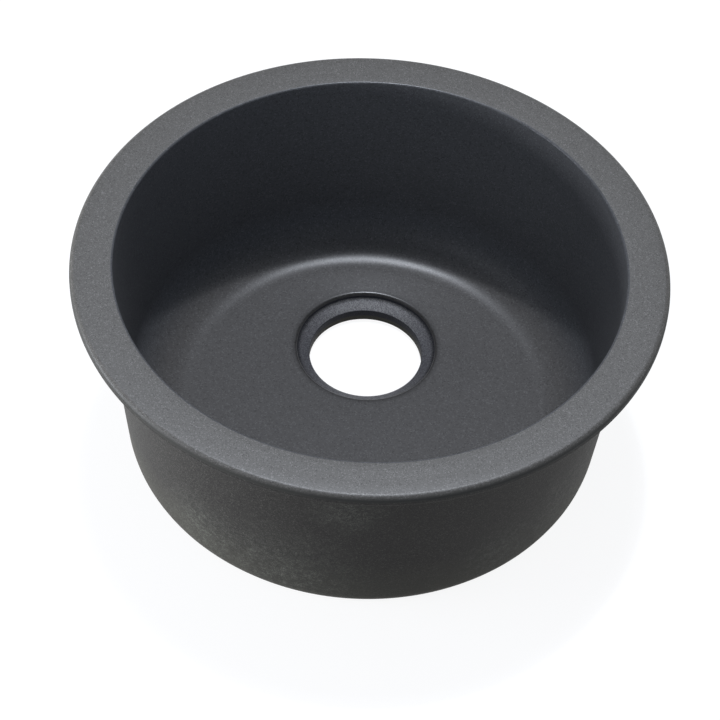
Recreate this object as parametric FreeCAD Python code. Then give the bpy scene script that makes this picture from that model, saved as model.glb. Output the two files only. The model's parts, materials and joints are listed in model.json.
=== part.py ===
import FreeCAD, Part
import math
import os

# Round bar sink cast in one piece from quartz composite, with brass inserts for its clips.
# All lengths are in millimetres. The origin is the middle of the foot, on the surface that the
# sink stands on. +Z is up and +Y points to the rear, the side that the drain lies towards.

# Overall sizes
rim_diameter = 432.0
overall_depth = 178.0

# Rim, a flat ring round the mouth of the bowl
rim_width = 31.0
rim_thickness = 8.5
rim_top_rounding = 4.3
rim_under_rounding = 1.8
mouth_rounding = 1.2
rim_root_fillet = 5.0

# Bowl, whose wall draws in towards the floor inside and out
wall_thickness = 9.0
wall_draft = math.radians(4.45)
inside_corner_radius = 42.0
outside_corner_radius = 16.7

# Floor, which falls a little from every side to the drain
floor_thickness_at_drain = 19.8
floor_fall = 1.8

# Drain, a stepped seat for a basket strainer, set back so that it leaves a narrow land at the rear
drain_rear_land = 23.6
drain_hole_diameter = 89.0
seat_diameter = 109.0
seat_depth = 3.8
seat_cone_depth = 5.5
seat_rounding = 2.4

# Underside, hollowed between the foot ring and the drain boss so that the floor is of even thickness
foot_ring_width = 15.0
drain_boss_wall = 17.0
relief_depth = 7.0
relief_draft = 1.5

# Clip inserts, six-sided brass nuts cast into the rim from below, which can't turn in it
insert_count = 8
insert_edge_distance = 10.5
first_insert_share = 0.5
insert_sides = 6
insert_across_flats = 8.0
insert_length = 5.0
insert_thread_hole_diameter = 4.2
insert_thread_depth = 4.2

# Straight runs that stand for one rounding in an outline
edge_run_count = 1
lip_run_count = 2
rim_run_count = 3
corner_run_count = 4

# How far a cutting solid runs past the face that it opens
overrun = 5.0

# How closely an edge has to lie to the place where it is looked for
match_tolerance = 0.01

up = FreeCAD.Vector(0, 0, 1)

rim_radius = rim_diameter / 2
mouth_radius = rim_radius - rim_width
rim_underside_height = overall_depth - rim_thickness
wall_slope = math.tan(wall_draft)
wall_radius_under_rim = mouth_radius + wall_thickness
wall_radius_at_base = wall_radius_under_rim - rim_underside_height * wall_slope
floor_edge_height = floor_thickness_at_drain + floor_fall
wall_radius_at_floor = mouth_radius - (overall_depth - floor_edge_height) * wall_slope
floor_edge_radius = wall_radius_at_floor - inside_corner_radius * math.tan((math.pi / 2 - wall_draft) / 2)
drain_radius = drain_hole_diameter / 2
seat_radius = seat_diameter / 2
seat_lip_radius = seat_radius + seat_rounding
drain_setback = floor_edge_radius - drain_rear_land - seat_lip_radius
seat_floor_height = floor_thickness_at_drain - seat_depth
drain_hole_top_height = seat_floor_height - seat_cone_depth
boss_radius = drain_radius + drain_boss_wall
relief_radius = wall_radius_at_base - outside_corner_radius - foot_ring_width
insert_circle_radius = rim_radius - insert_edge_distance


def rounded(before, corner, after, rounding, runs):
    """Points (radius, height) that round one corner of an outline in short straight runs."""
    back = FreeCAD.Vector(before[0] - corner[0], before[1] - corner[1]).normalize()
    onward = FreeCAD.Vector(after[0] - corner[0], after[1] - corner[1]).normalize()
    half_angle = back.getAngle(onward) / 2
    tip = FreeCAD.Vector(corner[0], corner[1])
    centre = tip + (back + onward).normalize() * (rounding / math.sin(half_angle))
    start = tip + back * (rounding / math.tan(half_angle)) - centre
    end = tip + onward * (rounding / math.tan(half_angle)) - centre
    points = []
    for step in range(runs + 1):
        share = step / runs
        # Equal turns from the first touching point to the last
        angle = start.getAngle(end)
        along = start * math.sin((1 - share) * angle) + end * math.sin(share * angle)
        point = centre + along / math.sin(angle)
        points.append((point.x, point.y))
    return points


def turned(outline, centre_y=0.0):
    """A solid turned about an upright axis from (radius, height) points that start and end on it."""
    points = [FreeCAD.Vector(radius, centre_y, height) for radius, height in outline]
    face = Part.Face(Part.makePolygon(points + points[:1]))
    return face.revolve(FreeCAD.Vector(0, centre_y, 0), up, 360)


def ring_edges(solid, height):
    """The round level edges of a solid at one height."""
    found = []
    for edge in solid.Edges:
        if isinstance(edge.Curve, Part.Circle) and abs(edge.Curve.Center.z - height) < match_tolerance:
            found.append(edge)
    return found


def outer_form():
    """The casting's outside: foot, drawn wall and rim, still without its hollow."""
    middle_low = (0, 0)
    base = (wall_radius_at_base, 0)
    root = (wall_radius_under_rim, rim_underside_height)
    under_edge = (rim_radius, rim_underside_height)
    top_edge = (rim_radius, overall_depth)
    middle_high = (0, overall_depth)
    outline = [middle_low]
    outline += rounded(middle_low, base, root, outside_corner_radius, corner_run_count)
    outline += rounded(base, root, under_edge, rim_root_fillet, edge_run_count)
    outline += rounded(root, under_edge, top_edge, rim_under_rounding, edge_run_count)
    outline += rounded(under_edge, top_edge, middle_high, rim_top_rounding, rim_run_count)
    outline += [middle_high]
    return turned(outline)


def bowl_hollow():
    """The space inside the bowl down to the edge of its floor, with a wide round corner."""
    lip_top_radius = mouth_radius + mouth_rounding
    lip_bottom_radius = mouth_radius - mouth_rounding * wall_slope
    hollow = turned([
        (0, floor_edge_height),
        (wall_radius_at_floor, floor_edge_height),
        (lip_bottom_radius, overall_depth - mouth_rounding),
        (lip_top_radius, overall_depth),
        (lip_top_radius, overall_depth + overrun),
        (0, overall_depth + overrun),
    ])
    return hollow.makeFillet(inside_corner_radius, ring_edges(hollow, floor_edge_height))


def falling_floor(bowl):
    """The shallow space between the edge of the floor and the lip of the drain seat."""
    floor_edge = Part.Wire(ring_edges(bowl, floor_edge_height))
    lip_centre = FreeCAD.Vector(0, drain_setback, floor_thickness_at_drain)
    lip = Part.Wire(Part.makeCircle(seat_lip_radius, lip_centre, up))
    return Part.makeLoft([lip, floor_edge], True, True)


def drain_opening():
    """The stepped seat of the strainer, its rounded lip and the straight hole below it."""
    middle_high = (0, floor_thickness_at_drain)
    floor_beyond = (seat_radius + overrun, floor_thickness_at_drain)
    seat_top = (seat_radius, floor_thickness_at_drain)
    seat_foot = (seat_radius, seat_floor_height)
    outline = [(0, -overrun), (drain_radius, -overrun), (drain_radius, drain_hole_top_height), seat_foot]
    outline += rounded(seat_foot, seat_top, floor_beyond, seat_rounding, lip_run_count)
    outline += [middle_high]
    return turned(outline, drain_setback)


def underside_relief():
    """The shallow hollow in the underside, which leaves a foot ring and a boss round the drain."""
    relief_top_radius = relief_radius - relief_draft
    boss_root_radius = boss_radius + relief_draft
    pan = turned([(0, 0), (relief_radius, 0), (relief_top_radius, relief_depth), (0, relief_depth)])
    boss = turned([(0, 0), (boss_radius, 0), (boss_root_radius, relief_depth), (0, relief_depth)], drain_setback)
    return pan.cut(boss)


def insert_body():
    """The outside of one insert, a straight six-sided bar that stands on the origin."""
    corner_radius = insert_across_flats / 2 / math.cos(math.pi / insert_sides)
    corners = []
    for number in range(insert_sides + 1):
        angle = number * 2 * math.pi / insert_sides
        corners.append(FreeCAD.Vector(corner_radius * math.cos(angle), corner_radius * math.sin(angle), 0))
    return Part.Face(Part.makePolygon(corners)).extrude(up * insert_length)


def insert_places():
    """Where the inserts stand, evenly round the rim with a gap at the front and at the rear."""
    pitch = 2 * math.pi / insert_count
    places = []
    for number in range(insert_count):
        angle = (number + first_insert_share) * pitch
        x = insert_circle_radius * math.cos(angle)
        y = insert_circle_radius * math.sin(angle)
        places.append(FreeCAD.Vector(x, y, rim_underside_height))
    return places


def sink_body():
    """The whole casting, with the sockets that it forms round its inserts."""
    bowl = bowl_hollow()
    casting = outer_form().cut(bowl)
    casting = casting.cut(falling_floor(bowl))
    casting = casting.cut(drain_opening())
    casting = casting.cut(underside_relief())
    for place in insert_places():
        socket = insert_body()
        socket.translate(place)
        casting = casting.cut(socket)
    return casting


def clip_insert(place):
    """One brass insert at its place, its mouth flush with the underside of the rim."""
    thread_hole = Part.makeCylinder(insert_thread_hole_diameter / 2, insert_thread_depth)
    insert = insert_body().cut(thread_hole)
    insert.translate(place)
    return insert


def export(shape, name):
    solid = shape.Solids[0]
    if not solid.isValid() or len(shape.Solids) != 1:
        raise ValueError(name + " is not one sound solid")
    solid.exportStep(os.path.join("parts", name + ".step"))
    print(name, "volume", round(solid.Volume), "mm3, faces", len(solid.Faces))


os.makedirs("parts", exist_ok=True)
export(sink_body(), "sink_body")
for number, place in enumerate(insert_places(), start=1):
    export(clip_insert(place), "clip_insert_" + str(number))
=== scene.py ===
# %% [markdown]
# A round bar sink, cast in one piece from quartz composite.
#
# The sink is built around its measured construction model, which is loaded first. The visible
# casting and its brass inserts are then modelled again with every rounding, coloured with
# procedural materials, and lit on a pale floor from the same viewing angle as the real one.

import json
import math

import bmesh
import bpy
from mathutils import Matrix, Quaternion, Vector


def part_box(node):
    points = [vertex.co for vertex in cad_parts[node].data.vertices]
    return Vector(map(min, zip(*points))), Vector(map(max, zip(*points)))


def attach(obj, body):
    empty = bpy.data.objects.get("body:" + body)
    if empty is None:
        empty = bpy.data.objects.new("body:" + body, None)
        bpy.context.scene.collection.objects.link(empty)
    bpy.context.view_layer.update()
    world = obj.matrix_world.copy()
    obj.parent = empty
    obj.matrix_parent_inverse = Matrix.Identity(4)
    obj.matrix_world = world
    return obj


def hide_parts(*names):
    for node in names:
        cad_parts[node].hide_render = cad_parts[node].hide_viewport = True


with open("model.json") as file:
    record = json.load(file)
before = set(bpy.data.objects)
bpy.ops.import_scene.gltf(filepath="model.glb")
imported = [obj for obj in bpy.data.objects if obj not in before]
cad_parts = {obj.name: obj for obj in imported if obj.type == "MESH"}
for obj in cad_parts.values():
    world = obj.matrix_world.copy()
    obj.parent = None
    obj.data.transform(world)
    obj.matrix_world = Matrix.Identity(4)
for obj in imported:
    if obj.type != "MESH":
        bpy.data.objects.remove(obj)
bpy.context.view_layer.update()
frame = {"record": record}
body_low, body_high = (Vector(corner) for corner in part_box("sink_body"))
mounts = {mount["name"]: mount for mount in frame["record"]["mounts"]}
print("mounts", sorted(mounts))

# %% [markdown]
# The sizes. The outer ones, the drain and the inserts are read from the frame, so the visible
# model can't drift from the construction. The others are written here in millimetres, as on a
# drawing, and turned to metres by one function.

# %% Sizes of the casting


def mm(length):
    """Millimetres as metres."""
    return length / 1000


RIM_R = (body_high.x - body_low.x) / 2
TOP = body_high.z
DRAIN_Y = mounts["drain_hole"]["pos_m"][1]
DRAIN_R = mm(mounts["drain_hole"]["dims"]["r_mm"])
RIM_UNDER = mounts["rim_underside"]["pos_m"][2]
INSERT_RING_R = mm(mounts["clip_inserts"]["dims"]["pcd_mm"]) / 2
INSERT_COUNT = mounts["clip_inserts"]["dims"]["count"]
THREAD_R = mm(mounts["clip_inserts"]["dims"]["hole_r_mm"])

RIM_WIDTH = mm(31)
MOUTH_R = RIM_R - RIM_WIDTH
WALL = mm(9)
DRAFT = math.tan(math.radians(4.45))
CORNER_IN = mm(42)
CORNER_OUT = mm(16.7)
RIM_ROUND = mm(4.3)
RIM_UNDER_ROUND = mm(1.8)
MOUTH_ROUND = mm(1.5)
ROOT_FILLET = mm(5)

FLOOR_LIP = mm(19.8)
FLOOR_EDGE = mm(21.6)
SEAT_R = mm(54.5)
SEAT_FLOOR = mm(16)
SEAT_FOOT_FILLET = mm(0.8)
LIP_ROUND = mm(2.4)
CONE_DEPTH = mm(5.5)
BORE_EDGE_ROUND = mm(0.7)

FOOT_RING = mm(15)
RELIEF = mm(7)
RELIEF_DRAFT = mm(1.5)
BOSS_R = DRAIN_R + mm(17)
SMALL_ROUND = mm(1)
RELIEF_FILLET = mm(2)

TURNS = 256
MATCH = mm(0.02)
WELD = mm(0.001)
print("rim radius", round(RIM_R, 4), "depth", round(TOP, 4), "drain set back", round(DRAIN_Y, 4))

# %% [markdown]
# Every rounded outline is drawn the same way: a few corners, each with the radius that softens
# it. Sharp edges never look right, because even a moulded edge catches a thin line of light.
# One helper turns such corners into points, with a real arc at each of them, and splits long
# straight runs so that the mesh has even faces.

# %% Outline helper


def arc(before, corner, after, radius, steps):
    """Points of the arc that rounds one corner of an outline."""
    back = (before - corner).normalized()
    onward = (after - corner).normalized()
    half = back.angle(onward) / 2
    centre = corner + (back + onward).normalized() * radius / math.sin(half)
    start = corner + back * radius / math.tan(half) - centre
    end = corner + onward * radius / math.tan(half) - centre
    start.normalize()
    end.normalize()
    return [centre + start.slerp(end, step / steps) * radius for step in range(steps + 1)]


def outline(corners, longest=mm(12)):
    """Points (radius, height) along corners given as (radius, height, rounding)."""
    tips = [Vector((radius, height)) for radius, height, _ in corners]
    points = [tips[0]]
    for number in range(1, len(tips)):
        rounding = corners[number][2]
        if rounding:
            steps = max(8, round(rounding / mm(2.4)))
            fresh = arc(tips[number - 1], tips[number], tips[number + 1], rounding, steps)
        else:
            fresh = [tips[number]]
        gap = fresh[0] - points[-1]
        pieces = max(1, math.ceil(gap.length / longest))
        points += [points[-1] + gap * step / pieces for step in range(1, pieces)]
        points += fresh
    return points


def first_inside(points, radius):
    """The number of the first point of an outline that lies within a radius."""
    return next(number for number, point in enumerate(points) if point.x < radius)


def ring_of(verts):
    """The edges of a fresh ring, always in the same order, given its points."""
    return list(dict.fromkeys(edge for vert in verts for edge in vert.link_edges))


def points_in(made):
    """The points among what a mesh operator made."""
    return [item for item in made if isinstance(item, bmesh.types.BMVert)]


def edges_among(made, verts):
    """The edges among what a mesh operator made that run between some points."""
    ends = set(verts)
    edges = [item for item in made if isinstance(item, bmesh.types.BMEdge)]
    return [edge for edge in edges if ends.issuperset(edge.verts)]


def lathe(bm, points, centre_y=0.0):
    """Turn an outline about an upright axis: a circle is extruded from each point to the next."""
    centre = Matrix.Translation((0, centre_y, points[0].y))
    made = bmesh.ops.create_circle(bm, segments=TURNS, radius=points[0].x, matrix=centre)
    ring = ring_of(made["verts"])
    for before, after in zip(points, points[1:]):
        made = bmesh.ops.extrude_edge_only(bm, edges=ring)["geom"]
        verts = points_in(made)
        ring = edges_among(made, verts)
        grow = after.x / before.x
        space = Matrix.Translation((0, -centre_y, -before.y))
        bmesh.ops.scale(bm, verts=verts, vec=(grow, grow, 1), space=space)
        bmesh.ops.translate(bm, verts=verts, vec=(0, 0, after.y - before.y))


def open_ring(bm, radius, height, centre_y=0.0):
    """The open edges of a mesh that lie on one level circle."""
    def on_it(vert):
        reach = math.hypot(vert.co.x, vert.co.y - centre_y)
        return abs(reach - radius) < MATCH and abs(vert.co.z - height) < MATCH
    open_edges = [edge for edge in bm.edges if edge.is_boundary]
    ring = [edge for edge in open_edges if all(on_it(vert) for vert in edge.verts)]
    assert len(ring) == TURNS, (radius, height, len(ring))
    return ring


def paint_new(bm, slot):
    """Give the faces made since the last call one material slot, and remember that they have it."""
    painted = bm.faces.layers.int["painted"]
    fresh = [face for face in bm.faces if not face[painted]]
    for face in fresh:
        face.material_index = slot
        face[painted] = 1
    return len(fresh)


MOULDED, MOULD_BACK, SEAT, RIM_FACE, BORED = 0, 1, 2, 3, 4

# %% [markdown]
# The outside of the bowl is turned like a pot on a wheel: the foot ring, the wide round corner,
# the wall that leans outwards so that the casting leaves its mould, and the fillet under the
# rim. It stops where the flat underside of the rim begins, because that ring has sockets in it.

# %% Turn the outside
wall_r_under_rim = MOUTH_R + WALL
wall_r_at_base = wall_r_under_rim - RIM_UNDER * DRAFT
relief_r = wall_r_at_base - CORNER_OUT - FOOT_RING
relief_top_r = relief_r - RELIEF_DRAFT
relief_edge_r = relief_top_r - mm(6)
under_in_r = wall_r_under_rim + mm(7)
under_out_r = RIM_R - mm(3)

casting = bmesh.new()
casting.faces.layers.int.new("painted")
lathe(casting, outline([
    (relief_edge_r, RELIEF, 0),
    (relief_top_r, RELIEF, RELIEF_FILLET),
    (relief_r, 0, SMALL_ROUND),
    (wall_r_at_base, 0, CORNER_OUT),
    (wall_r_under_rim, RIM_UNDER, ROOT_FILLET),
    (under_in_r, RIM_UNDER, 0),
]))
print("outside faces", paint_new(casting, MOULD_BACK))

# %% [markdown]
# The rim and the inside of the bowl are one outline: up round the rim, across its flat top, over
# the mouth and down the wall to the floor. The outline is cut where the rounding of the mouth
# starts, because the top of the rim is ground flat and duller, and is painted paler than the bowl:
# painted light, for the broad light that the open rim catches.

# %% Turn the rim and the inside
rim_side_top = TOP - RIM_ROUND - mm(0.6)
lathe(casting, outline([
    (under_out_r, RIM_UNDER, 0),
    (RIM_R, RIM_UNDER, RIM_UNDER_ROUND),
    (RIM_R, rim_side_top, 0),
]))
print("rim edge faces", paint_new(casting, MOULD_BACK))

wall_r_at_floor = MOUTH_R - (TOP - FLOOR_EDGE) * DRAFT
floor_edge_r = wall_r_at_floor - CORNER_IN * math.tan((math.pi / 2 - math.atan(DRAFT)) / 2)
inside = outline([
    (RIM_R, rim_side_top, 0),
    (RIM_R, TOP, RIM_ROUND),
    (MOUTH_R, TOP, MOUTH_ROUND),
    (wall_r_at_floor, FLOOR_EDGE, CORNER_IN),
    (floor_edge_r - mm(2), FLOOR_EDGE, 0),
])
mouth_start = first_inside(inside, MOUTH_R + MOUTH_ROUND)
lathe(casting, inside[:mouth_start + 1])
print("rim faces", paint_new(casting, RIM_FACE))
lathe(casting, inside[mouth_start:-1])
print("bowl faces", paint_new(casting, MOULDED), "floor radius", round(floor_edge_r, 4))

# %% [markdown]
# The drain has its own axis, set back from the middle. A stepped seat takes the flange of a
# strainer, a cone leads to the straight hole, and a boss below gives its nut a flat face.

# %% Turn the drain
seat_lip_r = SEAT_R + LIP_ROUND
hole_top = SEAT_FLOOR - CONE_DEPTH
seat_outline = outline([
    (seat_lip_r + mm(4), FLOOR_LIP, 0),
    (SEAT_R, FLOOR_LIP, LIP_ROUND),
    (SEAT_R, SEAT_FLOOR, SEAT_FOOT_FILLET),
    (DRAIN_R, hole_top, BORE_EDGE_ROUND),
    (DRAIN_R, mm(5), 0),
], mm(3))
while seat_outline[1].x > seat_lip_r - mm(0.01):
    seat_outline.pop(0)
seat_outline.insert(0, Vector((seat_lip_r, FLOOR_LIP)))
wall_start = first_inside(seat_outline, SEAT_R + mm(0.1))
cone_start = first_inside(seat_outline, SEAT_R - mm(0.3))
bore_start = first_inside(seat_outline, DRAIN_R + mm(0.3))
lathe(casting, seat_outline[:wall_start + 1], DRAIN_Y)
print("lip faces", paint_new(casting, MOULDED))
lathe(casting, seat_outline[wall_start:cone_start + 1], DRAIN_Y)
print("seat wall faces", paint_new(casting, BORED))
lathe(casting, seat_outline[cone_start:bore_start + 1], DRAIN_Y)
print("seat faces", paint_new(casting, SEAT))
lathe(casting, seat_outline[bore_start:], DRAIN_Y)
print("bore faces", paint_new(casting, BORED))

boss_root_r = BOSS_R + RELIEF_DRAFT
boss_edge_r = boss_root_r + mm(4)
lathe(casting, outline([
    (DRAIN_R, mm(5), 0),
    (DRAIN_R, 0, mm(0.6)),
    (BOSS_R, 0, SMALL_ROUND),
    (boss_root_r, RELIEF, RELIEF_FILLET),
    (boss_edge_r, RELIEF, 0),
], mm(6)), DRAIN_Y)
print("boss faces", paint_new(casting, MOULD_BACK))

# %% [markdown]
# The floor joins two circles that don't share a centre: the foot of the round corner and the lip
# of the seat. Bridging them and dividing the bridge gives clean rings in between. The rings are
# then let down in a curve that starts level at the corner, so that water runs to the drain and
# the light shows no crease. The underside is closed with a second bridge, which stays flat.

# %% Bridge the floor and the underside
FLOOR_RINGS = 24
UNDER_RINGS = 8
FALL_CURVE = 1.15
bmesh.ops.remove_doubles(casting, verts=casting.verts, dist=WELD)


def bridge(bm, first, second, cuts):
    """Join two open rings, divide the new faces into rings, and return the points in between."""
    made = bmesh.ops.bridge_loops(bm, edges=first + second)
    for face in made["faces"]:
        face[bm.faces.layers.int["painted"]] = 0
    made = bmesh.ops.subdivide_edges(bm, edges=made["edges"], cuts=cuts, use_grid_fill=True)
    return points_in(made["geom_inner"])


inner = bridge(casting, open_ring(casting, floor_edge_r, FLOOR_EDGE),
               open_ring(casting, seat_lip_r, FLOOR_LIP, DRAIN_Y), FLOOR_RINGS)
for vert in inner:
    share = (vert.co.z - FLOOR_LIP) / (FLOOR_EDGE - FLOOR_LIP)
    vert.co.z = FLOOR_LIP + (FLOOR_EDGE - FLOOR_LIP) * (1 - (1 - share) ** FALL_CURVE)
print("floor faces", paint_new(casting, MOULDED))
bridge(casting, open_ring(casting, relief_edge_r, RELIEF),
       open_ring(casting, boss_edge_r, RELIEF, DRAIN_Y), UNDER_RINGS)
print("underside faces", paint_new(casting, MOULD_BACK))

# %% [markdown]
# Eight sockets open in the underside of the rim. The flat ring between wall and edge is filled
# round six-sided holes, and each hole is then pulled up into the rim and closed, as the brass
# nut that stood in the mould left it. The fill misses an eighth of the ring, at the front, and
# the mesh is still open there: the count of open edges that is printed below shows it.

# %% Fill the underside of the rim and pull up the sockets
NUT_FLAT = mm(8)
NUT_LENGTH = mm(5)
NUT_SIDES = 6
nut_corner_r = NUT_FLAT / 2 / math.cos(math.pi / NUT_SIDES)
socket_places = [
    Vector((INSERT_RING_R * math.cos(angle), INSERT_RING_R * math.sin(angle), RIM_UNDER))
    for angle in ((number + 0.5) * 2 * math.pi / INSERT_COUNT for number in range(INSERT_COUNT))]


def six_sides(bm, place, corner_r):
    """A level ring of six edges about a place."""
    made = bmesh.ops.create_circle(
        bm, segments=NUT_SIDES, radius=corner_r, matrix=Matrix.Translation(place))
    turn = Matrix.Rotation(math.pi / NUT_SIDES, 3, "Z")
    for vert in made["verts"]:
        vert.co = place + turn @ (vert.co - place)
    return ring_of(made["verts"])


def raise_and_close(bm, ring, height):
    """Pull a ring straight up to a height and close it there."""
    made = bmesh.ops.extrude_edge_only(bm, edges=ring)["geom"]
    top = points_in(made)
    for vert in top:
        vert.co.z = height
    bmesh.ops.contextual_create(bm, geom=edges_among(made, top))


def fill_flat(bm, edges):
    """Fill the level space between rings with faces that look down."""
    bmesh.ops.triangle_fill(
        bm, edges=edges, use_beauty=True, use_dissolve=False, normal=(0, 0, -1))


socket_rings = [six_sides(casting, place, nut_corner_r) for place in socket_places]
hole_edges = [edge for ring in socket_rings for edge in ring]
wall_ring = open_ring(casting, under_in_r, RIM_UNDER)
fill_flat(casting, wall_ring + open_ring(casting, under_out_r, RIM_UNDER) + hole_edges)
print("rim underside faces", paint_new(casting, MOULD_BACK))
for ring in socket_rings:
    raise_and_close(casting, ring, RIM_UNDER + NUT_LENGTH)
paint_new(casting, MOULD_BACK)
print("sockets", len(socket_rings), "open edges", sum(edge.is_boundary for edge in casting.edges))

# %% [markdown]
# A finished mesh has to be closed and its faces have to point outwards, or light and later
# exports go wrong. One function does that for every piece, marks the few truly sharp edges, and
# says how many edges are still open.

# %% Finish a mesh


def finish_mesh(bm, name, crease=math.radians(40)):
    """Close, orient and smooth a mesh, and make an object of it."""
    bmesh.ops.remove_doubles(bm, verts=bm.verts, dist=WELD)
    bmesh.ops.recalc_face_normals(bm, faces=bm.faces)
    for face in bm.faces:
        face.smooth = True
    for edge in bm.edges:
        edge.smooth = edge.is_manifold and edge.calc_face_angle(0) < crease
    open_edges = sum(not edge.is_manifold for edge in bm.edges)
    volume = bm.calc_volume(signed=True)
    mesh = bpy.data.meshes.new(name)
    bm.to_mesh(mesh)
    bm.free()
    piece = bpy.data.objects.new(name, mesh)
    bpy.context.scene.collection.objects.link(piece)
    print(name, "faces", len(mesh.polygons), "open edges", open_edges,
          "volume cm3", round(volume * 1e6, 2))
    return piece


sink = finish_mesh(casting, "sink_casting")
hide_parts("sink_body")
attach(sink, "root")

# %% [markdown]
# The inserts are short pieces of six-sided brass bar with a blind thread. Each starts as a flat
# six-sided ring round its hole. The thread is a zigzag outline turned about the nut's axis: its
# lead is too small to tell rings from a helix.

# %% Model the brass inserts
THREAD_PITCH = mm(0.8)
THREAD_DEPTH = mm(0.45)
THREAD_TURNS = 5
MOUTH_BEVEL = mm(0.7)
BEVEL_HEIGHT = mm(0.4)
NUT_INSET = mm(0.15)
NUT_GAP = mm(0.05)
HOLE_TURNS = 48
NUT_CREASE = math.radians(28)


def thread_outline(low):
    """Points (radius, height) of a blind hole: a bevel, then a zigzag in place of the thread."""
    root_r = THREAD_R + THREAD_DEPTH
    points = [Vector((THREAD_R + MOUTH_BEVEL, low)), Vector((root_r, low + BEVEL_HEIGHT))]
    for turn in range(THREAD_TURNS):
        height = points[-1].y
        points.append(Vector((THREAD_R, height + THREAD_PITCH / 2)))
        if turn < THREAD_TURNS - 1:
            points.append(Vector((root_r, height + THREAD_PITCH)))
    return points


def brass_insert(name, place):
    """One insert, its mouth just inside the underside of the rim."""
    nut = bmesh.new()
    low = place.z + NUT_INSET
    points = thread_outline(low)
    verts = [nut.verts.new((place.x + point.x, place.y, point.y)) for point in points]
    edges = [nut.edges.new(pair) for pair in zip(verts, verts[1:])]
    bmesh.ops.spin(nut, geom=verts + edges, cent=(place.x, place.y, 0), axis=(0, 0, 1),
                   angle=2 * math.pi, steps=HOLE_TURNS, use_merge=True, use_duplicate=False)
    open_edges = [edge for edge in nut.edges if edge.is_boundary]
    hole_mouth = [edge for edge in open_edges if edge.verts[0].co.z < low + MATCH]
    hole_end = [edge for edge in open_edges if edge.verts[0].co.z > low + MATCH]
    bmesh.ops.contextual_create(nut, geom=hole_end)
    ring = six_sides(nut, Vector((place.x, place.y, low)), nut_corner_r - NUT_GAP)
    fill_flat(nut, ring + hole_mouth)
    raise_and_close(nut, ring, place.z + NUT_LENGTH - NUT_GAP)
    return finish_mesh(nut, name, NUT_CREASE)


inserts = []
for number, place in enumerate(socket_places, start=1):
    piece = brass_insert("brass_insert_%d" % number, place)
    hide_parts("clip_insert_%d" % number)
    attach(piece, "root")
    inserts.append(piece)

# %% [markdown]
# Materials are small networks of nodes. One function adds a node with its settings and links,
# and one turns a colour as a painter writes it, sRGB hex, into the linear values that light is
# worked out with. A socket whose name occurs twice on its node goes by its number.

# %% Node helpers


def linear(colour):
    """An sRGB hex colour as linear RGBA."""
    parts = [int(colour[start:start + 2], 16) / 255 for start in (1, 3, 5)]
    parts = [part / 12.92 if part <= 0.04045 else ((part + 0.055) / 1.055) ** 2.4 for part in parts]
    return parts + [1.0]


def grey(value):
    """A linear value as an RGBA grey."""
    return (value, value, value, 1.0)


def set_stops(color_ramp, stops):
    """Give a colour ramp its (position, linear colour) stops."""
    while len(color_ramp.elements) < len(stops):
        color_ramp.elements.new(1.0)
    for element, (position, colour) in zip(color_ramp.elements, stops):
        element.position = position
        element.color = colour


def node(tree, kind, settings=None, **links):
    """Add a node, set its properties, sockets and stops, and link sockets to (node, output)."""
    made = tree.nodes.new(kind)
    for key, value in (settings or {}).items():
        if key == "stops":
            set_stops(made.color_ramp, value)
        elif key.startswith("in:"):
            socket = key[3:]
            made.inputs[int(socket) if socket.isdigit() else socket].default_value = value
        else:
            setattr(made, key, value)
    for key, (source, output) in links.items():
        socket = int(key[1:]) if key[1:].isdigit() else key.replace("_", " ")
        tree.links.new(source.outputs[output], made.inputs[socket])
    return made


print("grey 0.5 from sRGB", round(linear("#808080")[0], 3))

# %% [markdown]
# A new material starts with its shader and with Object coordinates, which are in metres and keep
# every pattern at its real size. Two patterns are needed more than once: cells with a random
# value each, for grains, and the distance from a point, for painted shade round the seat and for
# dust.

# %% Pattern helpers


def new_material(name):
    """A material with its shader and Object coordinates."""
    material = bpy.data.materials.new(name)
    material.use_nodes = True
    tree = material.node_tree
    tree.nodes.clear()
    output = node(tree, "ShaderNodeOutputMaterial")
    shader = node(tree, "ShaderNodeBsdfPrincipled")
    tree.links.new(shader.outputs["BSDF"], output.inputs["Surface"])
    place = node(tree, "ShaderNodeTexCoord")
    return material, tree, shader, place


def random_cells(tree, place, to_the_metre):
    """Three random values, Red, Green and Blue, that are even over each cell."""
    cells = node(tree, "ShaderNodeTexVoronoi", {"in:Scale": to_the_metre},
                 Vector=(place, "Object"))
    return node(tree, "ShaderNodeSeparateColor", Color=(cells, "Color"))


def by_distance(tree, place, centre, near, far, at_near, at_far):
    """A value that changes with the distance from a point, all lengths in metres."""
    away = node(tree, "ShaderNodeVectorMath", {"operation": "DISTANCE", "in:1": centre},
                c0=(place, "Object"))
    return node(tree, "ShaderNodeMapRange", {
        "in:From Min": near, "in:From Max": far, "in:To Min": at_near, "in:To Max": at_far},
        Value=(away, "Value"))


# %% [markdown]
# Quartz composite is about four fifths fine quartz sand in acrylic resin. Close up it is a dark
# ground with lighter and darker grains, each with its own polish. The real sand is 0.1 to 0.6 mm
# across, which is finer than a pixel here, so the grain is drawn at 0.6 to 0.9 mm to show at
# all. The way the resin flowed leaves a slight cloudiness, about one cloud in 110 mm.

# %% Quartz composite
GRAIN = 0.85
FINE_GRAIN = 0.62
POLISH_SPREAD = 0.06
CLOUDS = {"in:Scale": 9.0, "in:Detail": 4.0}
TINT = {"data_type": "RGBA", "blend_type": "MULTIPLY", "in:0": 1.0}


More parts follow.
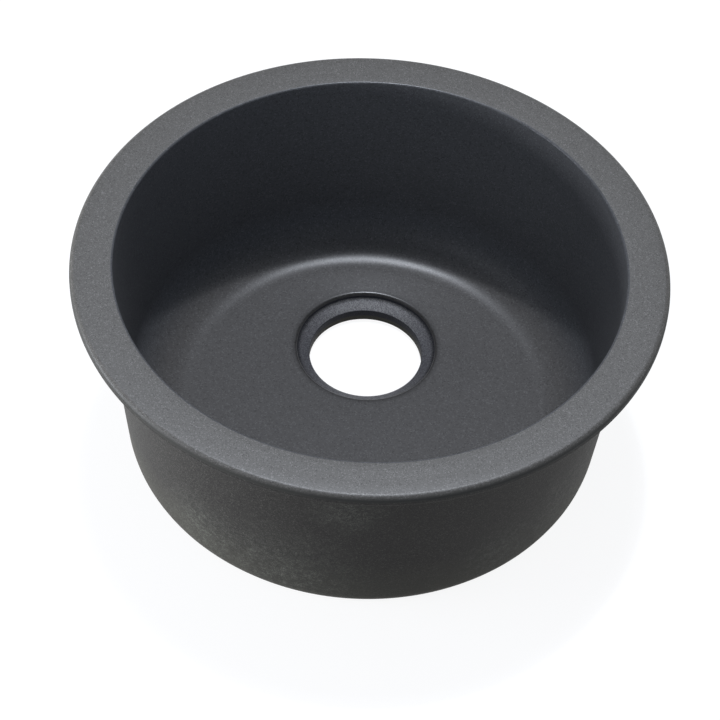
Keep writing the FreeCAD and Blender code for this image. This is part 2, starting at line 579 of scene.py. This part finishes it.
def quartz_composite(name, base, pale, dark, grain_mm, roughness, relief_mm, specular):
    """Granular cast stone: random grains over a cloudy ground, with a fine relief."""
    material, tree, shader, place = new_material(name)
    cells = random_cells(tree, place, 1000 / grain_mm)
    grains = node(tree, "ShaderNodeValToRGB", {"stops": [
        (0.0, linear(dark)), (0.2, linear(base)), (0.8, linear(base)), (1.0, linear(pale))]},
        Fac=(cells, "Red"))
    clouds = node(tree, "ShaderNodeTexNoise", CLOUDS, Vector=(place, "Object"))
    cloudy = node(tree, "ShaderNodeValToRGB", {"stops": [(0.3, grey(0.93)), (0.7, grey(1.0))]},
                  Fac=(clouds, 0))
    colour = node(tree, "ShaderNodeMix", TINT, c6=(grains, 0), c7=(cloudy, 0))
    tree.links.new(colour.outputs[2], shader.inputs["Base Color"])
    rough = node(tree, "ShaderNodeMapRange", {
        "in:To Min": roughness - POLISH_SPREAD, "in:To Max": roughness + POLISH_SPREAD},
        Value=(cells, "Green"))
    tree.links.new(rough.outputs[0], shader.inputs["Roughness"])
    fine = node(tree, "ShaderNodeTexNoise", {"in:Scale": 900 / grain_mm, "in:Detail": 2.0},
                Vector=(place, "Object"))
    bump = node(tree, "ShaderNodeBump", {"in:Strength": 0.5, "in:Distance": mm(relief_mm)},
                Height=(fine, 0))
    tree.links.new(bump.outputs[0], shader.inputs["Normal"])
    shader.inputs["IOR"].default_value = 1.5
    shader.inputs["Specular IOR Level"].default_value = specular
    print(name, "grain", grain_mm, "mm, roughness", roughness)
    return material, tree, shader, place, colour


# %% [markdown]
# Where the casting lay against the mould it has a silky skin. The floor and its corner keep that
# polish and gleam. The walls dragged along the mould as the casting was pulled and are duller,
# up to the mouth, which is rubbed smooth again. The walls are also painted a little bluer: a
# painted cool cast for the shade in the bowl. The rounding round the seat is painted darker:
# painted shade in the step of the seat.

# %% Quartz composite, the moulded face
FLOOR_ROUGHNESS = 0.275
WALL_ROUGHNESS = 0.6
MOUTH_ROUGHNESS = 0.3
WALL_SHADE_TINT = (0.97, 1.02, 1.09, 1.0)
SEAT_CENTRE = (0, DRAIN_Y, FLOOR_LIP)

moulded, tree, shader, place, colour = quartz_composite(
    "quartz_composite_moulded", "#4f4d4b", "#605e5c", "#3e3c3a", GRAIN, FLOOR_ROUGHNESS,
    0.045, 0.36)
axes = node(tree, "ShaderNodeSeparateXYZ", Vector=(place, "Object"))
height = node(tree, "ShaderNodeMath", {"operation": "DIVIDE", "in:1": TOP}, c0=(axes, "Z"))
dulled = node(tree, "ShaderNodeValToRGB", {"stops": [
    (0.15, grey(FLOOR_ROUGHNESS)), (0.25, grey(WALL_ROUGHNESS)),
    (0.984, grey(WALL_ROUGHNESS)), (0.993, grey(MOUTH_ROUGHNESS))]}, Fac=(height, 0))
tree.links.new(dulled.outputs[0], shader.inputs["Roughness"])
# Painted shade colour: above a quarter of the height, the walls are tinted bluer for the cool shade
# in the bowl.
cool_shade_tint = node(tree, "ShaderNodeValToRGB", {"stops": [(0.15, grey(1.0)), (0.25, WALL_SHADE_TINT)]},
              Fac=(height, 0))
# Painted shade: the rounding round the seat is darkened towards the step.
seat_shade = by_distance(tree, place, SEAT_CENTRE, SEAT_R - mm(0.5), SEAT_R + mm(5.5), 0.4, 1.0)
seat_shaded = node(tree, "ShaderNodeMix", TINT, c6=(colour, 2), c7=(seat_shade, 0))
skin = node(tree, "ShaderNodeMix", TINT, c6=(seat_shaded, 2), c7=(cool_shade_tint, 0))
tree.links.new(skin.outputs[2], shader.inputs["Base Color"])

# %% [markdown]
# The top of the rim is ground flat, so that it lies tight under the worktop. Grinding takes off
# the silky skin: the face is duller and sandier. Its colour is also paler than the bowl's, which
# is painted light: the open rim catches broad light that the bowl keeps from its walls and floor.
# The paler colour fades out over the rounded edge, and the side of the rim keeps the darker, dull
# skin of the mould.

# %% Quartz composite, the ground rim, with painted light
RIM_SIDE = linear("#41403c")

# The paler colours of the rim top are painted light, for the broad light that the open rim catches.
ground, tree, shader, place, colour = quartz_composite(
    "quartz_composite_ground", "#54514c", "#726f6a", "#37342f", FINE_GRAIN, 0.46, 0.075, 0.6)
axes = node(tree, "ShaderNodeSeparateXYZ", Vector=(place, "Object"))
# Painted light: the paler rim colour fades out over the rounded edge into the side colour.
painted_light_share = node(tree, "ShaderNodeMapRange", {
    "in:From Min": TOP - mm(2.8), "in:From Max": TOP - mm(0.4)}, Value=(axes, "Z"))
faded = node(tree, "ShaderNodeMix", {"data_type": "RGBA", "in:6": RIM_SIDE},
             c0=(painted_light_share, 0), c7=(colour, 2))
tree.links.new(faded.outputs[2], shader.inputs["Base Color"])
shine = node(tree, "ShaderNodeMapRange", {
    "in:From Min": TOP - mm(1.8), "in:From Max": TOP - mm(0.3),
    "in:To Min": 0.08, "in:To Max": 0.6}, Value=(axes, "Z"))
tree.links.new(shine.outputs[0], shader.inputs["Specular IOR Level"])

# %% [markdown]
# The seat of the drain is milled after casting. Milling opens the skin and cuts through the
# grains, whose faces lie at all angles and glitter one by one, so the relief is deeper here and
# the gloss is stronger than that of plain resin. The foot of the seat's wall is painted darker
# and less glossy: painted shade under the step. The upright faces of the seat and the hole are
# bored instead: dull and almost plain, and painted dark, which is painted shade in the step and
# the hole.

# %% Quartz composite, milled and bored
milled, tree, shader, place, colour = quartz_composite(
    "quartz_composite_milled", "#373639", "#67656a", "#1f1f21", FINE_GRAIN, 0.48, 0.15, 0.9)
shader.inputs["IOR"].default_value = 2.0
facets = random_cells(tree, place, 1000 / FINE_GRAIN)
glitter = node(tree, "ShaderNodeValToRGB", {"stops": [(0.3, grey(0.5)), (0.65, grey(1.0))]},
               Fac=(facets, "Blue"))
# Painted shade: darker and less glossy towards the foot of the seat's wall.
seat_shade = by_distance(tree, place, SEAT_CENTRE, SEAT_R - mm(3), SEAT_R - mm(0.6), 1.0, 0.3)
seat_shaded = node(tree, "ShaderNodeMix", TINT, c6=(colour, 2), c7=(seat_shade, 0))
tree.links.new(seat_shaded.outputs[2], shader.inputs["Base Color"])
sparkle = node(tree, "ShaderNodeMath", {"operation": "MULTIPLY"}, c0=(glitter, 0), c1=(seat_shade, 0))
tree.links.new(sparkle.outputs[0], shader.inputs["Specular IOR Level"])

# Painted shade: the bored faces are given a dark colour for the shade in the step and the hole.
bored_and_shaded, *_ = quartz_composite(
    "quartz_composite_bored", "#3c3c40", "#48484c", "#2f2f32", FINE_GRAIN, 0.6, 0.08, 0.12)

# %% [markdown]
# The outside lay against the back half of the mould. It is duller, and a little brown towards
# the foot in uneven blotches, about one in 70 mm.

# %% Quartz composite, the back of the casting
BLOTCHES = {"in:Scale": 14.0, "in:Detail": 5.0}
BROWN = linear("#56544a")

back, tree, shader, place, colour = quartz_composite(
    "quartz_composite_mould_back", "#34322f", "#585650", "#1e1c1a", FINE_GRAIN, 0.62, 0.1, 0.16)
axes = node(tree, "ShaderNodeSeparateXYZ", Vector=(place, "Object"))
low_band = node(tree, "ShaderNodeMapRange", {
    "in:From Min": mm(4), "in:From Max": mm(60), "in:To Min": 1.0, "in:To Max": 0.0},
    Value=(axes, "Z"))
blotches = node(tree, "ShaderNodeTexNoise", BLOTCHES, Vector=(place, "Object"))
brown_amount = node(tree, "ShaderNodeMath", {"operation": "MULTIPLY"},
                    c0=(low_band, 0), c1=(blotches, 0))
browned = node(tree, "ShaderNodeMix", {"data_type": "RGBA", "in:7": BROWN},
               c0=(brown_amount, 0), c6=(colour, 2))

# %% [markdown]
# The outside is also dusty where the sink was handled and stacked: pale grit of 0.7 mm clings in
# soft patches low on the wall, with one smudge under the rim. A patch is a distance from a point
# on the wall, broken up by flecks of about 5 mm and then by the grit itself.

# %% Dust on the outside
DUST_PATCHES = [
    ((-50, -182, 30), 72),
    ((-108, -150, 38), 54),
    ((152, -108, 50), 60),
    ((108, -150, 40), 45),
    ((-5, -190, 126), 32),
]
FLECKS = {"in:Scale": 210.0, "in:Detail": 6.0}
GRIT_TO_THE_METRE = 1400.0
DUST = linear("#8c8c80")


def dust_patch(tree, place, centre, reach):
    """A soft round patch about a point in millimetres: 1 in its middle, 0 at its reach."""
    return by_distance(tree, place, [mm(length) for length in centre], 0.0, mm(reach), 1.0, 0.0)


dusty, *others = [dust_patch(tree, place, centre, reach) for centre, reach in DUST_PATCHES]
for other in others:
    dusty = node(tree, "ShaderNodeMath", {"operation": "MAXIMUM"}, c0=(dusty, 0), c1=(other, 0))
flecks = node(tree, "ShaderNodeTexNoise", FLECKS, Vector=(place, "Object"))
broken = node(tree, "ShaderNodeValToRGB", {"stops": [(0.4, grey(0.16)), (0.66, grey(0.8))]},
              Fac=(flecks, 0))
grit = random_cells(tree, place, GRIT_TO_THE_METRE)
gritty = node(tree, "ShaderNodeValToRGB", {"stops": [(0.45, grey(0.12)), (0.95, grey(0.85))]},
              Fac=(grit, "Red"))
amount = node(tree, "ShaderNodeMath", {"operation": "MULTIPLY"}, c0=(dusty, 0), c1=(broken, 0))
amount = node(tree, "ShaderNodeMath", {"operation": "MULTIPLY"}, c0=(amount, 0), c1=(gritty, 0))
dusted = node(tree, "ShaderNodeMix", {"data_type": "RGBA", "in:7": DUST},
              c0=(amount, 0), c6=(browned, 2))
tree.links.new(dusted.outputs[2], shader.inputs["Base Color"])
print("dust patches", len(DUST_PATCHES), "nodes of the outside", len(tree.nodes))

# %% [markdown]
# The casting takes its five finishes in the order of the numbers that its faces were given.

# %% Give the casting its materials
for material in (moulded, back, milled, ground, bored_and_shaded):
    sink.data.materials.append(material)
print("casting materials", [material.name for material in sink.data.materials])

# %% [markdown]
# The inserts are sawn from drawn brass bar: a warm yellow metal, slightly uneven in tone over
# about a millimetre, whose saw marks of 0.3 mm blur its shine.

# %% Brass, drawn and sawn
TONE = {"in:Scale": 900.0, "in:Detail": 2.0}
SAW_MARKS_TO_THE_METRE = 3500.0

brass, tree, shader, place = new_material("brass_drawn")
shader.inputs["Metallic"].default_value = 1.0
tone = node(tree, "ShaderNodeTexNoise", TONE, Vector=(place, "Object"))
tint = node(tree, "ShaderNodeValToRGB", {"stops": [
    (0.35, linear("#b08f52")), (0.7, linear("#d6b676"))]}, Fac=(tone, 0))
tree.links.new(tint.outputs[0], shader.inputs["Base Color"])
saw = node(tree, "ShaderNodeMapping", {"in:Scale": (0.15, 1.0, 1.0)}, Vector=(place, "Object"))
marks = node(tree, "ShaderNodeTexNoise", {"in:Scale": SAW_MARKS_TO_THE_METRE}, Vector=(saw, 0))
rough = node(tree, "ShaderNodeMapRange", {"in:To Min": 0.28, "in:To Max": 0.5}, Value=(marks, 0))
tree.links.new(rough.outputs[0], shader.inputs["Roughness"])
bump = node(tree, "ShaderNodeBump", {"in:Strength": 0.3, "in:Distance": mm(0.03)},
            Height=(marks, 0))
tree.links.new(bump.outputs[0], shader.inputs["Normal"])
for piece in inserts:
    piece.data.materials.append(brass)
print("insert material", brass.name, "on", len(inserts), "pieces")

# %% [markdown]
# The floor is a pale sheet. It shows white to the camera and in reflections, keeps a soft shadow
# of the sink, and throws only a little light back up, as the studio table did.

# %% Floor
FLOOR_REACH = 6
FLOOR_DROP = mm(0.2)


def showing_ray(tree):
    """1 for a ray that shows the studio itself: to the camera, or by way of metal or glass."""
    path = node(tree, "ShaderNodeLightPath")
    seen = node(tree, "ShaderNodeMath", {"operation": "MAXIMUM"},
                c0=(path, "Is Camera Ray"), c1=(path, "Is Glossy Ray"))
    return node(tree, "ShaderNodeMath", {"operation": "MAXIMUM"},
                c0=(seen, 0), c1=(path, "Is Transmission Ray"))


def floor_paper():
    """White paper where it is seen, and grey paper for the light that it throws back."""
    material = bpy.data.materials.new("floor_paper")
    material.use_nodes = True
    tree = material.node_tree
    tree.nodes.clear()
    output = node(tree, "ShaderNodeOutputMaterial")
    paper = node(tree, "ShaderNodeBsdfDiffuse", {"in:Color": grey(0.14)})
    glow = node(tree, "ShaderNodeEmission", {"in:Color": grey(1.0), "in:Strength": 0.9})
    white = node(tree, "ShaderNodeAddShader", c0=(paper, 0), c1=(glow, 0))
    choice = node(tree, "ShaderNodeMixShader",
                  c0=(showing_ray(tree), 0), c1=(paper, 0), c2=(white, 0))
    tree.links.new(choice.outputs[0], output.inputs["Surface"])
    return material


sheet = bmesh.new()
bmesh.ops.create_grid(sheet, x_segments=1, y_segments=1, size=FLOOR_REACH)
bmesh.ops.translate(sheet, verts=sheet.verts, vec=(0, 0, -FLOOR_DROP))
mesh = bpy.data.meshes.new("studio_floor")
sheet.to_mesh(mesh)
sheet.free()
floor = bpy.data.objects.new("studio_floor", mesh)
bpy.context.scene.collection.objects.link(floor)
floor.data.materials.append(floor_paper())
print("floor", [round(side, 1) for side in floor.dimensions])

# %% [markdown]
# The world is a cool dome that fills the shadows. Camera rays see white all round, but a
# reflection sees a dim ceiling, because a white one would veil the dark bowl.

# %% World
world = bpy.data.worlds.new("studio")
bpy.context.scene.world = world
world.use_nodes = True
tree = world.node_tree
tree.nodes.clear()
output = node(tree, "ShaderNodeOutputWorld")
where = node(tree, "ShaderNodeTexCoord")
axes = node(tree, "ShaderNodeSeparateXYZ", Vector=(where, "Generated"))
dome = node(tree, "ShaderNodeMapRange", {"in:To Min": 0.26, "in:To Max": 0.55},
            Value=(axes, "Z"))
sky = node(tree, "ShaderNodeBackground", {"in:Color": (0.83, 0.95, 1.19, 1.0)},
           Strength=(dome, 0))
ceiling = node(tree, "ShaderNodeMapRange", {
    "in:From Min": 0.1, "in:From Max": 0.4, "in:To Min": 1.0, "in:To Max": 0.12},
    Value=(axes, "Z"))
white = node(tree, "ShaderNodeBackground", {"in:Color": grey(1.0)}, Strength=(ceiling, 0))
choice = node(tree, "ShaderNodeMixShader", c0=(showing_ray(tree), 0), c1=(sky, 0), c2=(white, 0))
tree.links.new(choice.outputs[0], output.inputs["Surface"])
print("world", world.name, "nodes", len(tree.nodes))

# %% [markdown]
# The lamps. A small, far one overhead, tilted to the rear, shines in through the mouth. The rim
# cuts its light off along a circle, and where that circle crosses the round corner the edge of
# the floor gleams as a crescent. A wider lamp at the same place softens the cut. A low strip at
# the left grazes the outside, and a weak box in front of it fills the right wall. All are a
# little cool and the greys of the stone a little warm, so matt faces look neutral and gleams
# look blue.

# %% Lamps
COOL = (0.93, 0.98, 1.075)
LAMP_AIM = Vector((0, 0, mm(100)))


def soft_box(name, place, width, height, power):
    """A rectangular area lamp that faces the sink."""
    lamp = bpy.data.lights.new(name, "AREA")
    lamp.shape = "RECTANGLE"
    lamp.size = width
    lamp.size_y = height
    lamp.energy = power
    lamp.color = COOL
    box = bpy.data.objects.new(name, lamp)
    box.location = place
    box.rotation_euler = (LAMP_AIM - Vector(place)).to_track_quat("-Z", "Y").to_euler()
    bpy.context.scene.collection.objects.link(box)
    print(name, "at", [round(length, 2) for length in place], "watts", round(power, 1))


def box_power(level, distance):
    """Watts with which a far lamp lights a face to a level, where 1 shows a colour as written."""
    return level * math.pi ** 2 * distance ** 2


def lamp_place(distance, tilt, azimuth):
    """A place at a distance from the sink, tilted from overhead towards an azimuth, in degrees."""
    tilt, azimuth = math.radians(tilt), math.radians(azimuth)
    across = distance * math.sin(tilt)
    return (across * math.cos(azimuth), across * math.sin(azimuth), distance * math.cos(tilt))


soft_box("overhead_box", lamp_place(15.0, 15.8, 91.5), 0.45, 0.45, box_power(0.34, 15.0))
soft_box("halo_box", lamp_place(15.0, 15.3, 91.5), 1.9, 1.9, box_power(0.36, 15.0))
soft_box("left_box", lamp_place(1.2, 82.8, 190), 0.6, 0.22, box_power(1.15, 1.2))
soft_box("fill_box", lamp_place(1.6, 60, 212), 0.9, 0.9, box_power(0.11, 1.6))

# %% [markdown]
# The camera stands where the real one stood. Its place, its aim and its slight tilt come from
# fitting the circles of the rim, mouth, drain and outer wall to the picture. Light is shown as
# it is, without a film look.

# %% Camera
CAMERA_PLACE = Vector((0.0, -1.07238, 1.32429))
CAMERA_AIM = Vector((-0.00352, -0.09682, 0.1778))
CAMERA_ROLL = math.radians(3.108)
lens = bpy.data.cameras.new("camera")
lens.lens = 109.03
lens.sensor_width = 36.0
camera = bpy.data.objects.new("camera", lens)
camera.location = CAMERA_PLACE
turn = (CAMERA_AIM - CAMERA_PLACE).to_track_quat("-Z", "Y") @ Quaternion((0, 0, 1), CAMERA_ROLL)
camera.rotation_euler = turn.to_euler()
bpy.context.scene.collection.objects.link(camera)
bpy.context.scene.camera = camera
bpy.context.scene.view_settings.view_transform = "Standard"
print("camera", round((CAMERA_AIM - CAMERA_PLACE).length, 2), "m from its aim")
